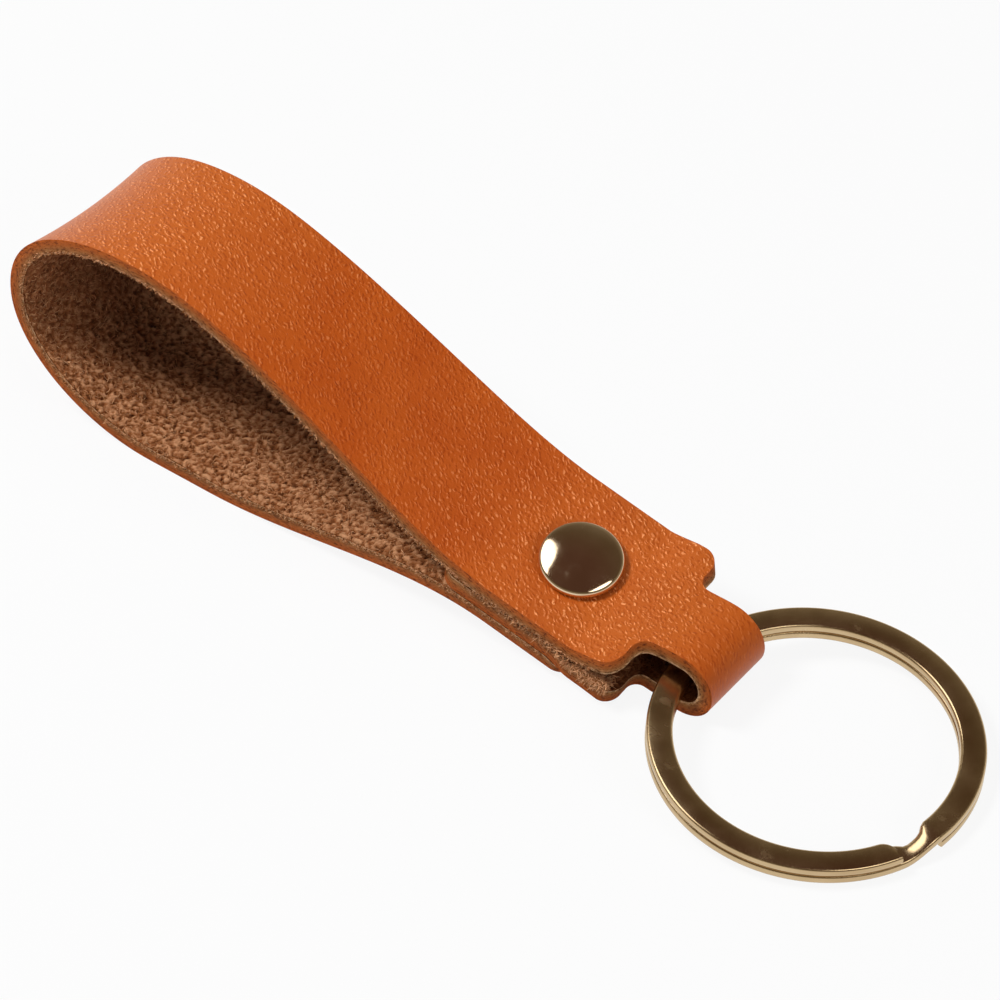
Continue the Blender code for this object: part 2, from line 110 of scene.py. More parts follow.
LOOP_HEIGHT = 23.5 * MM
CREST_REACH = 44.5 * MM
BELLY_HEIGHT = 12.5 * MM
REST_START = 36.5 * MM
REST_END = 43.5 * MM
CREST_LEAN = -2.5
LOOP_SKEW = 4.0
SADDLE = 0.45 * MM
SADDLE_BEFORE_CREST = 4.0 * MM
TWIST_START = 7.0 * MM
RUN_POINTS = 60


def heading(degrees):
    return Vector((math.cos(math.radians(degrees)), math.sin(math.radians(degrees))))


def stack_spot(along, height):
    """A point of the riveted layers in the side view."""
    foot = Vector((-STACK * math.sin(math.radians(STACK_SLOPE)), STACK_LIFT))
    return foot + along * heading(-STACK_SLOPE) + height * heading(90 - STACK_SLOPE)


def run(start, leaves, end, arrives, pulls):
    """A smooth stretch of the side view. It leaves one point and arrives at the other at the
    headings given, and keeps to each of them for as long as its pull."""
    first = start + pulls[0] * heading(leaves)
    last = end - pulls[1] * heading(arrives)
    return [Vector(p) for p in interpolate_bezier(start, first, last, end, RUN_POINTS)]


half = LEATHER / 2
tail_height = PARED + LAYER_GAP + half
strap_height = STACK - half
fold_centre = Vector((FOLD_REACH, hinge.z))
fold = [
    fold_centre + (FOLD_RADIUS + half) * heading(FOLD_START + FOLD_STEP * i)
    for i in range(round((FOLD_END - FOLD_START) / FOLD_STEP) + 1)
]
tail_drops = stack_spot(TAIL_DROP_START, tail_height)
tail_leaves = stack_spot(TAIL_DROP_END, tail_height - TAIL_DROP)
strap_seat = stack_spot(SEAT_REACH, strap_height)
rivet_top = stack_spot(-SEAT_REACH, strap_height)
rivet_under = stack_spot(-SEAT_REACH, half)
crest = Vector((-CREST_REACH, LOOP_HEIGHT - half))
belly = Vector((half - LOOP_REACH, BELLY_HEIGHT))
rest_end = Vector((-REST_END, half))
rest_start = Vector((-REST_START, half))

# How far each stretch keeps to its two headings, as shares of its own length or height.
DROP_PULLS = (0.45, 0.45)
UNDER_PULLS = (0.33, 0.33)
OVER_PULLS = (0.4, 0.12)
RISE_PULLS = (0.29, 0.3)
TURN_PULLS = (0.57, 0.65)
BELLY_PULLS = (0.54, 0.53)
TABLE_PULLS = (0.33, 0.33)
drop_pulls = [pull * (tail_leaves - tail_drops).length for pull in DROP_PULLS]
under_pulls = [pull * (fold[0] - tail_leaves).length for pull in UNDER_PULLS]
over_pulls = [pull * (fold[-1] - strap_seat).length for pull in OVER_PULLS]
rise_pulls = [pull * (crest - rivet_top).length for pull in RISE_PULLS]
turn_pulls = [TURN_PULLS[0] * (crest - belly).x, TURN_PULLS[1] * (crest - belly).y]
belly_pulls = [BELLY_PULLS[0] * (belly - rest_end).y, BELLY_PULLS[1] * (rest_end - belly).x]
table_pulls = [pull * (rivet_under - rest_start).length for pull in TABLE_PULLS]

side_line = [stack_spot(-TAIL_PAST_RIVET, tail_height)]
side_line += run(tail_drops, -STACK_SLOPE, tail_leaves, -TAIL_DROP_SLOPE, drop_pulls)
side_line += run(tail_leaves, -TAIL_DROP_SLOPE, fold[0], FOLD_START + 90, under_pulls)[1:]
middle_of_fold = len(side_line) - 1 + round(-FOLD_START / FOLD_STEP)
side_line += fold[1:]
side_line += run(fold[-1], FOLD_END + 90, strap_seat, 180 - STACK_SLOPE, over_pulls)[1:]
side_line += run(rivet_top, 180 - STACK_SLOPE, crest, 180, rise_pulls)
side_line += run(crest, 180, belly, 270, turn_pulls)[1:]
side_line += run(belly, 270, rest_end, 0, belly_pulls)[1:]
side_line += run(rest_start, 0, rivet_under, -STACK_SLOPE, table_pulls)
side_line.append(stack_spot(STRAP_PAST_RIVET, half))
side_line = np.array(side_line)
lengths = np.concatenate([[0], np.cumsum(np.linalg.norm(np.diff(side_line, axis=0), axis=1))])
strip_length = lengths[-1]
at_fold = lengths[middle_of_fold]
loop_start = lengths[np.argmin(np.linalg.norm(side_line - np.array(rivet_top), axis=1))]
loop_stop = lengths[np.argmin(np.linalg.norm(side_line - np.array(rivet_under), axis=1))]
headings = np.gradient(side_line, lengths, axis=0)
headings /= np.linalg.norm(headings, axis=1)[:, None]


def eased(share):
    share = np.clip(share, 0.0, 1.0)
    return share * share * (3 - 2 * share)


def half_width(length, skew):
    """Half the width of the flat strip at this length, on the side whose neck is longer by skew."""
    side, neck = STRAP_WIDTH / 2, NECK_WIDTH / 2
    tail_end, strap_start = at_fold - NECK_TO_TAIL + skew / 2, at_fold + NECK_TO_STRAP + skew
    to_end = min(length, strip_length - length)
    to_notch = tail_end - length if length < at_fold else length - strap_start
    if to_end < END_ROUND:
        return side - END_ROUND + math.sqrt(max(END_ROUND**2 - (END_ROUND - to_end) ** 2, 0))
    if 0 <= to_notch < SHOULDER_ROUND:
        cut = math.sqrt(max(SHOULDER_ROUND**2 - (SHOULDER_ROUND - to_notch) ** 2, 0))
        return side - SHOULDER_ROUND + cut
    if -NOTCH_ROUND < to_notch < 0:
        cut = math.sqrt(max(NOTCH_ROUND**2 - (NOTCH_ROUND + to_notch) ** 2, 0))
        return neck + NOTCH_ROUND - cut
    return side if to_notch >= 0 else neck


# The flat strip is a sheet with a row of points every 0.36 mm and more at each rounded corner.
# Its columns crowd towards both edges. It gets its thickness and its rounded edges while flat,
# and its faces are told apart then: grain looks down, suede looks up and the rest is edge.
ROW_STEP = 0.36 * MM
CORNER_TURN = 12
SLIVER = 0.001 * MM
COLUMNS = 44
CROWDING = 0.12
EDGE_ROUND = 0.35 * MM
EDGE_STEPS = 3
EDGE_ANGLE = 60
GRAIN_BELOW = -0.6
SUEDE_ABOVE = 0.9
SMOOTH_ANGLE = 50
rows = list(np.arange(0, strip_length, ROW_STEP)) + [strip_length]
corners = [(0, END_ROUND), (strip_length, -END_ROUND)]
for skew in (-NECK_SKEW, NECK_SKEW):
    corners.append((at_fold - NECK_TO_TAIL + skew / 2, -SHOULDER_ROUND))
    corners.append((at_fold - NECK_TO_TAIL + skew / 2, NOTCH_ROUND))
    corners.append((at_fold + NECK_TO_STRAP + skew, SHOULDER_ROUND))
    corners.append((at_fold + NECK_TO_STRAP + skew, -NOTCH_ROUND))
for start, radius in corners:
    for degrees in range(0, 91, CORNER_TURN):
        turned = radius * (1 - math.cos(math.radians(degrees)))
        rows.append(start + turned + SLIVER * np.sign(radius))
rows = np.clip(np.sort(rows), 0, strip_length)
rows = rows[np.concatenate([[True], np.diff(rows) > SLIVER])]


def flat_sheet(name, along, across):
    """Adds a flat sheet of along by across points, and tells which point each vertex is."""
    bpy.ops.object.select_all(action="DESELECT")
    bpy.ops.mesh.primitive_grid_add(x_subdivisions=along - 1, y_subdivisions=across - 1, size=2)
    sheet = bpy.context.object
    sheet.name = name
    spots = np.array([v.co for v in sheet.data.vertices])
    order = np.argsort(np.lexsort((spots[:, 1], spots[:, 0])))
    return sheet, order // across, order % across


def lay_points(mesh, points):
    """Moves all of a mesh's points to new places."""
    mesh.vertices.foreach_set("co", points.astype(np.float32).ravel())
    mesh.update()


def keep(mesh, name, values):
    """Keeps a number, or a place, for each point of a mesh, for its material to read."""
    kind, entry = ("FLOAT", "value") if values.ndim == 1 else ("FLOAT_VECTOR", "vector")
    kept = mesh.attributes.new(name, kind, "POINT")
    kept.data.foreach_set(entry, values.astype(np.float32).ravel())


strip, row, column = flat_sheet("leather_strap", len(rows), COLUMNS + 1)
far = np.array([half_width(s, -NECK_SKEW) for s in rows])
near = np.array([half_width(s, NECK_SKEW) for s in rows])
share = 0.5 - 0.5 * np.cos(np.pi * (CROWDING + (1 - 2 * CROWDING) * column / COLUMNS))
share = (share - share.min()) / (share.max() - share.min())
flat = np.stack([rows[row], -near[row] + (near + far)[row] * share, 0 * share], axis=1)
lay_points(strip.data, flat)
for side in ("grain", "edge", "suede"):
    strip.data.materials.append(bpy.data.materials.new("leather_" + side))
thicken = strip.modifiers.new("thickness", "SOLIDIFY")
thicken.thickness = LEATHER
thicken.offset = 1
bpy.ops.object.modifier_apply(modifier="thickness")
round_off = strip.modifiers.new("burnished_edge", "BEVEL")
round_off.width = EDGE_ROUND
round_off.segments = EDGE_STEPS
round_off.angle_limit = math.radians(EDGE_ANGLE)
bpy.ops.object.modifier_apply(modifier="burnished_edge")
for face in strip.data.polygons:
    if face.normal.z < GRAIN_BELOW:
        face.material_index = 0
    elif face.normal.z > SUEDE_ABOVE:
        face.material_index = 2
    else:
        face.material_index = 1

# Then it is bent along the side view. The rivet has pressed a dimple round each of its caps.
RIVET_OFFSET = 0.25 * MM
DIMPLE = 0.13 * MM
DIMPLE_RADIUS = 3.7 * MM
DIMPLE_SLOPE = 1.7 * MM


def lay_down(flat):
    """Bends the flat strip along the side view and leans it, from lengths, widths and depths."""
    length, across, depth = flat.T
    for at_rivet in (loop_start - SEAT_REACH, loop_stop + SEAT_REACH):
        off_centre = np.hypot(length - at_rivet, across - RIVET_OFFSET)
        pressed = 1 - eased((off_centre - DIMPLE_RADIUS) / DIMPLE_SLOPE)
        depth = depth + DIMPLE * pressed * np.clip(1 - depth / LEATHER, 0, 1)
    from_end = strip_length - length
    pared = np.clip((from_end - STRAP_PAST_RIVET - SEAT_REACH) / PARING_LENGTH, 0, 1)
    thick = PARED + (LEATHER - PARED) * pared
    feather = np.clip(from_end / FEATHER_LENGTH, 0, 1)
    thick = np.where(feather < 1, FEATHER + (PARED - FEATHER) * feather, thick)
    x, z = [np.interp(length, lengths, side_line[:, i]) for i in (0, 1)]
    loop_end = eased((-x - CREST_REACH + SADDLE_BEFORE_CREST) / (LOOP_REACH - CREST_REACH))
    loop_end *= eased(z / BELLY_HEIGHT)
    height = depth * thick / LEATHER - half
    height += SADDLE * loop_end * (1 - (2 * across / STRAP_WIDTH) ** 2)
    ahead, up = [np.interp(length, lengths, headings[:, i]) for i in (0, 1)]
    size = np.hypot(ahead, up)
    x, z = x - height * up / size, z + height * ahead / size
    stack_start = stack_spot(-SEAT_REACH, 0).x
    lean = CREST_LEAN * eased(z / LOOP_HEIGHT) * eased((stack_start - x) / CREST_REACH)
    lean += STACK_LEAN * eased((x + REST_START) / (REST_START + stack_start))
    fade = eased((x - TWIST_START) / (FOLD_REACH - FOLD_RADIUS - TWIST_START))
    lean = np.where(x < stack_start, lean, STACK_LEAN + (FOLD_LEAN - STACK_LEAN) * fade)
    lean = np.radians(lean)
    skewed = math.tan(math.radians(LOOP_SKEW)) * (across + STRAP_WIDTH / 2)
    x = x + skewed * eased((-x - CREST_REACH) / (LOOP_REACH - CREST_REACH))
    return np.stack([x, across * np.cos(lean), z + across * np.sin(lean)], axis=1)


flat = np.empty(len(strip.data.vertices) * 3, np.float32)
strip.data.vertices.foreach_get("co", flat)
flat = flat.reshape(-1, 3).astype(float)
keep(strip.data, "flat", flat / MM)
lay_points(strip.data, lay_down(flat) + np.array(rivet_foot))
bpy.ops.object.shade_smooth_by_angle(angle=math.radians(SMOOTH_ANGLE))


def fill(node, **settings):
    """Sets a node up. What starts with in_ is an input, by its name or its number, and takes a
    plain value or the output of another node."""
    for name, value in settings.items():
        if not name.startswith("in_"):
            setattr(node, name, value)
            continue
        name = name[3:].replace("_", " ")
        entry = node.inputs[int(name) if name.isdigit() else name]
        if isinstance(value, bpy.types.NodeSocket):
            node.id_data.links.new(value, entry)
        else:
            entry.default_value = value
    return node


def add(tree, kind, **settings):
    return fill(tree.nodes.new(kind), **settings)


def maths(tree, operation, *values):
    """The result of one sum. Each value is a plain number or the output of another node."""
    entries = {f"in_{i}": value for i, value in enumerate(values)}
    return add(tree, "ShaderNodeMath", operation=operation, **entries).outputs[0]


def spread(tree, value, low, high, least=0.0, most=1.0, how="LINEAR"):
    """A value that goes from least to most while the given one goes from low to high."""
    made = add(tree, "ShaderNodeMapRange", interpolation_type=how, in_Value=value)
    fill(made, in_From_Min=low, in_From_Max=high, in_To_Min=least, in_To_Max=most)
    return made.outputs["Result"]


def bumped(tree, height, distance, strength=1.0):
    """The normal of a surface with this relief."""
    made = add(tree, "ShaderNodeBump", in_Strength=strength, in_Distance=distance, in_Height=height)
    return made.outputs["Normal"]


def colour(hexadecimal):
    """A colour written as the eye sees it, as the light it stands for."""
    parts = [int(hexadecimal[i : i + 2], 16) / 255 for i in (1, 3, 5)]
    return (*[c / 12.92 if c <= 0.04045 else ((c + 0.055) / 1.055) ** 2.4 for c in parts], 1.0)


def ramp(tree, factor, stops):
    """Colours or greys that follow each other. A stop is a place with a hex colour, a colour as
    light, or a grey."""
    made = add(tree, "ShaderNodeValToRGB", in_Fac=factor)
    while len(made.color_ramp.elements) < len(stops):
        made.color_ramp.elements.new(0.5)
    for element, (place, shade) in zip(made.color_ramp.elements, stops):
        if isinstance(shade, str):
            shade = colour(shade)
        element.position = place
        element.color = shade if isinstance(shade, tuple) else (shade, shade, shade, 1)
    return made.outputs["Color"]


def pattern_group(name, **results):
    """A node group that takes a place, and puts out patterns of the kinds given."""
    made = bpy.data.node_groups.new(name, "ShaderNodeTree")
    made.interface.new_socket("Place", in_out="INPUT", socket_type="NodeSocketVector")
    for result, kind in results.items():
        made.interface.new_socket(result, in_out="OUTPUT", socket_type="NodeSocket" + kind)
    place = made.nodes.new("NodeGroupInput").outputs["Place"]
    return made, place, made.nodes.new("NodeGroupOutput")


def nodes_of(material):
    """Turns a material's nodes on, and gives its tree and its shader."""
    material.use_nodes = True
    return material.node_tree, material.node_tree.nodes["Principled BSDF"]


# The grain follows the flat strip, in millimetres, so that it isn't stretched by the bends:
# soft slanted pebbles with a painted highlight on one side and painted shade on the other,
# shallower where the neck is pulled round the ring, and a paler colour, partly real and partly
# a painted sheen, at the neck and where the strap is stretched over the end of the loop.
GRAIN_SLANT = 34.0
GRAIN_STRETCH = (1.35, 0.8, 1)
GRAIN_WANDER = (0.8, 0.8, 0.8)
LIT_FROM = (0.038, -0.056, 0)
GRAIN_DEPTH = 0.07 * MM
relief, place, result = pattern_group("grain_relief", Height="Float", Draw="Color")
slanted = add(
    relief,
    "ShaderNodeMapping",
    vector_type="TEXTURE",
    in_Rotation=(0, 0, math.radians(GRAIN_SLANT)),
    in_Scale=GRAIN_STRETCH,
    in_Vector=place,
).outputs["Vector"]
pebbles = add(relief, "ShaderNodeTexVoronoi", feature="SMOOTH_F1", in_Vector=slanted)
fill(pebbles, in_Scale=2.5, in_Smoothness=0.3)
wrinkles = add(relief, "ShaderNodeTexNoise", in_Scale=4.0, in_Detail=3.0, in_Roughness=0.6)
fill(wrinkles, in_Vector=slanted)
raised = spread(relief, pebbles.outputs["Distance"], 0.05, 0.6, least=1.0, most=0.0)
height = add(relief, "ShaderNodeMix", data_type="FLOAT", in_Factor=0.5)
fill(height, in_2=raised, in_3=wrinkles.outputs["Fac"])
fill(result, in_Height=height.outputs[0], in_Draw=pebbles.outputs["Color"])

tree, shader = nodes_of(bpy.data.materials["leather_grain"])
flat_place = add(tree, "ShaderNodeAttribute", attribute_name="flat").outputs["Vector"]
wander = add(tree, "ShaderNodeTexNoise", in_Scale=1.2, in_Detail=3.0, in_Vector=flat_place)
shifted = add(tree, "ShaderNodeVectorMath", operation="MULTIPLY_ADD", in_1=GRAIN_WANDER)
fill(shifted, in_0=wander.outputs["Color"], in_2=flat_place)
beside = add(tree, "ShaderNodeVectorMath", operation="ADD", in_0=shifted.outputs[0], in_1=LIT_FROM)
here = add(tree, "ShaderNodeGroup", node_tree=relief, in_Place=shifted.outputs[0])
there = add(tree, "ShaderNodeGroup", node_tree=relief, in_Place=beside.outputs[0])
falls = maths(tree, "SUBTRACT", here.outputs["Height"], there.outputs["Height"])
# Masks for painted light: the pebble side towards LIT_FROM and the side away from it.
lit_side = spread(tree, falls, 0.045, 0.15, how="SMOOTHSTEP")
shaded_side = spread(tree, falls, -0.03, -0.16, how="SMOOTHSTEP")
along = add(tree, "ShaderNodeSeparateXYZ", in_Vector=flat_place).outputs["X"]
from_fold = maths(tree, "ABSOLUTE", maths(tree, "SUBTRACT", along, at_fold / MM))

# How strong the painted highlights on the pebbles are, and how pale the leather is (partly a
# painted sheen), by the length from the fold. The stops are in shares of 100 mm: the neck, the
# rivet, the rise of the loop, its crest and its far end.
share_from_fold = maths(tree, "DIVIDE", from_fold, 100.0)
glint_strength = ramp(
    tree,
    share_from_fold,
    [
        (0.02, 0.16),
        (0.09, 0.95),
        (0.16, 1.0),
        (0.28, 0.5),
        (0.42, 0.17),
        (0.58, 0.5),
        (0.68, 1.0),
        (0.84, 0.35),
    ],
)
pale = ramp(
    tree,
    share_from_fold,
    [
        (0.02, 0.1),
        (0.06, 0.25),
        (0.17, 0.2),
        (0.28, 0.0),
        (0.5, 0.0),
        (0.66, 0.3),
        (0.82, 0.55),
        (0.95, 0.4),
    ],
)
# Painted highlight: pebble sides facing LIT_FROM turn pale orange, most by the rivet and crest.
draw_each = add(tree, "ShaderNodeSeparateColor", in_0=here.outputs["Draw"])
luck = spread(tree, draw_each.outputs[0], 0.2, 0.85, least=0.12)
painted_glint = maths(tree, "MULTIPLY", maths(tree, "MULTIPLY", lit_side, luck), glint_strength)
patches = add(tree, "ShaderNodeTexNoise", in_Scale=0.16, in_Detail=3.0, in_Vector=flat_place)
tone = ramp(tree, patches.outputs["Fac"], [(0.3, "#a9460e"), (0.7, "#b35014")])
# Paler where the leather is stretched, at the neck and the loop's end: partly painted sheen.
stretch_and_sheen = add(tree, "ShaderNodeMix", data_type="RGBA", in_Factor=pale, in_6=tone)
fill(stretch_and_sheen, in_7=colour("#cd7634"))
# Painted shade: pebble sides turned away from LIT_FROM are darkened.
painted_shade = add(tree, "ShaderNodeMix", data_type="RGBA", blend_type="MULTIPLY", in_Factor=shaded_side)
fill(painted_shade, in_6=stretch_and_sheen.outputs[2], in_7=(0.82, 0.7, 0.62, 1))
with_glints = add(tree, "ShaderNodeMix", data_type="RGBA", in_Factor=painted_glint, in_6=painted_shade.outputs[2])
fill(with_glints, in_7=colour("#e8975e"))
depth_of_grain = spread(tree, from_fold, 1.5, 6.5, least=0.35)
fill(
    shader,
    in_Base_Color=with_glints.outputs[2],
    in_Normal=bumped(tree, here.outputs["Height"], GRAIN_DEPTH, depth_of_grain),
    in_Roughness=0.42,
    in_Specular_IOR_Level=0.4,
    in_Specular_Tint=(1.0, 0.66, 0.36, 1),
)

# Raw cut edges: burnished orange next to the grain, a little lighter than the grain as painted
# light for the shade the edge faces into, then mottled tan, and pale at the suede.
FIBRE_STRETCH = (0.55, 1, 1.5)
NAP_DEPTH = 0.25 * MM
tree, shader = nodes_of(bpy.data.materials["leather_edge"])
flat_place = add(tree, "ShaderNodeAttribute", attribute_name="flat").outputs["Vector"]
drawn_out = add(tree, "ShaderNodeMapping", in_Scale=FIBRE_STRETCH, in_Vector=flat_place)
fibres_cut = add(tree, "ShaderNodeTexNoise", in_Scale=3.4, in_Detail=5.0, in_Roughness=0.7)
fibres_cut = fill(fibres_cut, in_Vector=drawn_out.outputs["Vector"]).outputs["Fac"]
deep = add(tree, "ShaderNodeSeparateXYZ", in_Vector=flat_place).outputs["Z"]
ragged = spread(tree, fibres_cut, 0.3, 0.7, least=-0.16, most=0.16)
depth_share = maths(tree, "MULTIPLY_ADD", deep, MM / LEATHER, ragged)
cut = add(tree, "ShaderNodeMix", data_type="RGBA", blend_type="MULTIPLY", in_Factor=1.0)
# The first two stops are painted lighter than the grain to offset the edge's shade.
stops = [(0.0, "#bd5a1e"), (0.4, "#b4602a"), (0.68, "#a86838"), (0.88, "#b07a4a")]
fill(cut, in_6=ramp(tree, depth_share, stops + [(0.98, "#d6aa80")]))
fill(cut, in_7=ramp(tree, fibres_cut, [(0.38, 0.3), (0.46, 0.9), (0.68, 1.25)]))
fill(shader, in_Base_Color=cut.outputs[2], in_Normal=bumped(tree, fibres_cut, NAP_DEPTH))
fill(shader, in_Roughness=0.8, in_Specular_IOR_Level=0.2)

# Suede: short matted nap, with painted shade in its pits.
tree, shader = nodes_of(bpy.data.materials["leather_suede"])
flat_place = add(tree, "ShaderNodeAttribute", attribute_name="flat").outputs["Vector"]
nap = add(tree, "ShaderNodeTexNoise", in_Scale=1.7, in_Detail=4.0, in_Roughness=0.6)
nap = fill(nap, in_Distortion=1.2, in_Vector=flat_place).outputs["Fac"]
stops = [(0.36, "#54290f"), (0.48, "#7a4524"), (0.66, "#9c6a44")]
fill(shader, in_Base_Color=ramp(tree, nap, stops), in_Normal=bumped(tree, nap, NAP_DEPTH))
fill(shader, in_Roughness=0.95, in_Specular_IOR_Level=0.1)
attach(strip, "fob")
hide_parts("leather_strip")

# Suede nap. Loose fibres of the same leather stand up from its flesh side: a matted layer all
# over the inside of the loop, tufts along the tail's near edge where it looks out from under the
# strap, and a fringe along the flesh side of both cut edges.
SEED = 7
draw = np.random.default_rng(SEED)
noise.seed_set(SEED)
half_strap = STRAP_WIDTH / 2
tail_end = at_fold - NECK_TO_TAIL
at_loop_end = lengths[np.argmin(side_line[:, 0])]
hair = bpy.data.materials.new("leather_fibre")
tree, shader = nodes_of(hair)
tone = add(tree, "ShaderNodeAttribute", attribute_name="tone").outputs["Fac"]
stops = [(0.0, "#5f3319"), (0.5, "#9e633a"), (1.0, "#dba478")]
fill(shader, in_Base_Color=ramp(tree, tone, stops), in_Roughness=0.9, in_Specular_IOR_Level=0.1)

FIBRE_RADIUS = (0.03, 0.06)
FIBRE_TAPER = np.array([0.8, 1.0, 0.9, 0.4])
FIBRE_SIDES = 3
FIBRE_CURL = 2.2
FIBRE_ARCH = (0.05, 0.7)
FIBRE_TWIST = 0.5


def fibres(name, length, across, depth, heading_from_x, lift, size, tones):
    """Fine curled hairs of three sides, from their roots on the flat strip. The lift and the
    size are the least and the most in mm, and the tones a mean and its spread."""
    steps, sides = len(FIBRE_TAPER), FIBRE_SIDES
    count = len(length)
    share = np.linspace(0, 1, steps)
    curl = draw.uniform(-FIBRE_CURL, FIBRE_CURL, count)
    turn = heading_from_x[:, None] + curl[:, None] * share
    stride = draw.uniform(*size, count)[:, None] * MM / (steps - 1) * np.ones(steps)
    stride[:, 0] = 0
    x = length[:, None] + np.cumsum(np.cos(turn) * stride, axis=1)
    y = across[:, None] + np.cumsum(np.sin(turn) * stride, axis=1)
    rise = draw.uniform(*lift, count)[:, None] * MM
    z = depth[:, None] + rise * np.sin(np.pi * (FIBRE_ARCH[0] + FIBRE_ARCH[1] * share))
    spine = np.stack([x, y, z], axis=2)
    radius = draw.uniform(*FIBRE_RADIUS, count)[:, None] * MM * FIBRE_TAPER
    side = np.stack([-np.sin(turn), np.cos(turn), np.zeros_like(turn)], axis=2)
    up = np.array([0, 0, 1.0])
    around = []
    for k in range(sides):
        angle = 2 * math.pi * k / sides + FIBRE_TWIST
        around.append(spine + radius[..., None] * (math.cos(angle) * side + math.sin(angle) * up))
    points = np.stack(around, axis=2).reshape(-1, 3)
    laid = lay_down(points) + np.array(rivet_foot)
    first = (np.arange(count) * steps * sides)[:, None, None]
    pattern = []
    for i in range(steps - 1):
        for k in range(sides):
            m = (k + 1) % sides
            pattern.append([i * sides + k, i * sides + m, (i + 1) * sides + m, (i + 1) * sides + k])
    walls = (first + np.array(pattern)[None]).reshape(-1, 4)
    tip = (steps - 1) * sides
    ends = (first + np.array([[0, 2, 1], [tip, tip + 1, tip + 2]])[None]).reshape(-1, 3)
    mesh = bpy.data.meshes.new(name)
    mesh.from_pydata(laid.tolist(), [], walls.tolist() + ends.tolist())
    tones = np.clip(draw.normal(*tones, count), 0, 1)
    keep(mesh, "tone", np.repeat(tones, steps * sides))
    mesh.shade_smooth()
    made = bpy.data.objects.new(name, mesh)
    bpy.context.collection.objects.link(made)
    mesh.materials.append(hair)
    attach(made, "fob")


MAT_DEPTH = 0.2 * MM
matted = bpy.data.materials.new("leather_nap")
tree, shader = nodes_of(matted)
# The tone kept on each point carries painted shade in the pits between the lumps.
tone = add(tree, "ShaderNodeAttribute", attribute_name="tone").outputs["Fac"]
flat_place = add(tree, "ShaderNodeAttribute", attribute_name="flat").outputs["Vector"]
strands = add(tree, "ShaderNodeTexNoise", in_Scale=5.0, in_Detail=4.0, in_Roughness=0.65)
strands = fill(strands, in_Distortion=0.8, in_Vector=flat_place).outputs["Fac"]
mixed = maths(tree, "MULTIPLY_ADD", strands, 0.5, maths(tree, "MULTIPLY", tone, 0.6))
stops = [(0.22, "#45220f"), (0.45, "#955a35"), (0.75, "#d49b70")]
fill(shader, in_Base_Color=ramp(tree, mixed, stops), in_Normal=bumped(tree, strands, MAT_DEPTH))
fill(shader, in_Roughness=0.95, in_Specular_IOR_Level=0.1)

MAT_STEP = 0.16 * MM
MAT_INSET = 0.03 * MM
MAT_EDGE_SUNK = 0.1 * MM
FELT = 0.05 * MM
SWIRL = 0.35
SWIRL_SCALE = 0.9
SWIRL_LAYER = 5.0
FINER = 2.2
FINER_SHARE = 0.6
LUMP_MIDDLE = 0.45
LUMP_SPREAD = 0.75
PIT_SHADE = 0.3
THIN_CONTRAST = 0.35


def mat(name, first, last, thickness, fineness):
    """A sheet of matted fibre on the flesh side, in lumps whose height is given by thickness."""
    spots = np.linspace(first, last, round((last - first) / MAT_STEP))
    places = np.linspace(-half_strap, half_strap, round(2 * half_strap / MAT_STEP))
    made, row, column = flat_sheet(name, len(spots), len(places))
    length, across = spots[row], places[column]
    lumps = []
    for a, b in zip(length / MM, across / MM):
        swirl = noise.noise_vector(Vector((SWIRL_SCALE * a, SWIRL_SCALE * b, SWIRL_LAYER))) * SWIRL
        spot = Vector((a, b, 0)) + swirl
        finer = FINER_SHARE * noise.noise(spot * fineness * FINER)
        lumps.append(noise.noise(spot * fineness) + finer)
    lumps = np.clip(LUMP_MIDDLE + LUMP_SPREAD * np.array(lumps), 0, 1)
    thick = thickness(length, across)
    depth = LEATHER + thick * lumps
    # Painted shade: the nap is darker where its lumps are low, and stays near that tone where thin.
    contrast = THIN_CONTRAST + (1 - THIN_CONTRAST) * thick / thick.max()
    tones = PIT_SHADE + (lumps - PIT_SHADE) * contrast
    inset = np.minimum(half_strap - np.abs(across), np.minimum(length - first, last - length))
    depth = np.where(inset < MAT_STEP / 2, LEATHER - MAT_EDGE_SUNK, depth)
    across = across * (1 - MAT_INSET / half_strap)
    flat = np.stack([length, across, depth], axis=1)
    mesh = made.data
    lay_points(mesh, lay_down(flat) + np.array(rivet_foot))
    keep(mesh, "tone", tones)
    keep(mesh, "flat", flat / MM)
    mesh.shade_smooth()
    mesh.materials.append(matted)
    felt = made.modifiers.new("felt", "SOLIDIFY")
    felt.thickness = FELT
    felt.offset = -1
    bpy.ops.object.modifier_apply(modifier="felt")
    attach(made, "fob")


LOOP_NAP_LEAST = 0.05
LOOP_NAP_GAIN = 0.27
LOOP_NAP_RUN = 14 * MM
LOOP_NAP_BEFORE = 9 * MM
LOOP_NAP_AFTER = 0.5 * MM
LOOP_FINENESS = 2.3
TAIL_NAP_LEAST = 0.04
TAIL_NAP_FREE = 0.1
TAIL_NAP_NEAR = 0.62
TAIL_FREE_START = 8 * MM
TAIL_FREE_RUN = 6 * MM
TAIL_NEAR_WIDTH = 2.2 * MM
TAIL_NAP_START = 1.9 * MM
TAIL_NAP_STOP = 1.7 * MM
TAIL_FINENESS = 1.6


def nap_in_loop(length, across):
    """Thin on the end of the loop, thick on the run that lies on the table."""
    grown = eased((length - at_loop_end) / LOOP_NAP_RUN)
    return (LOOP_NAP_LEAST + LOOP_NAP_GAIN * grown) * MM


def nap_on_tail(length, across):
    """Thick only where the tail drops away from the strap, most at its near edge."""
    free = eased((length - tail_end + TAIL_FREE_START) / TAIL_FREE_RUN)
    near = np.exp(-(((across + half_strap) / TAIL_NEAR_WIDTH) ** 2))
    return (TAIL_NAP_LEAST + free * (TAIL_NAP_FREE + TAIL_NAP_NEAR * near)) * MM


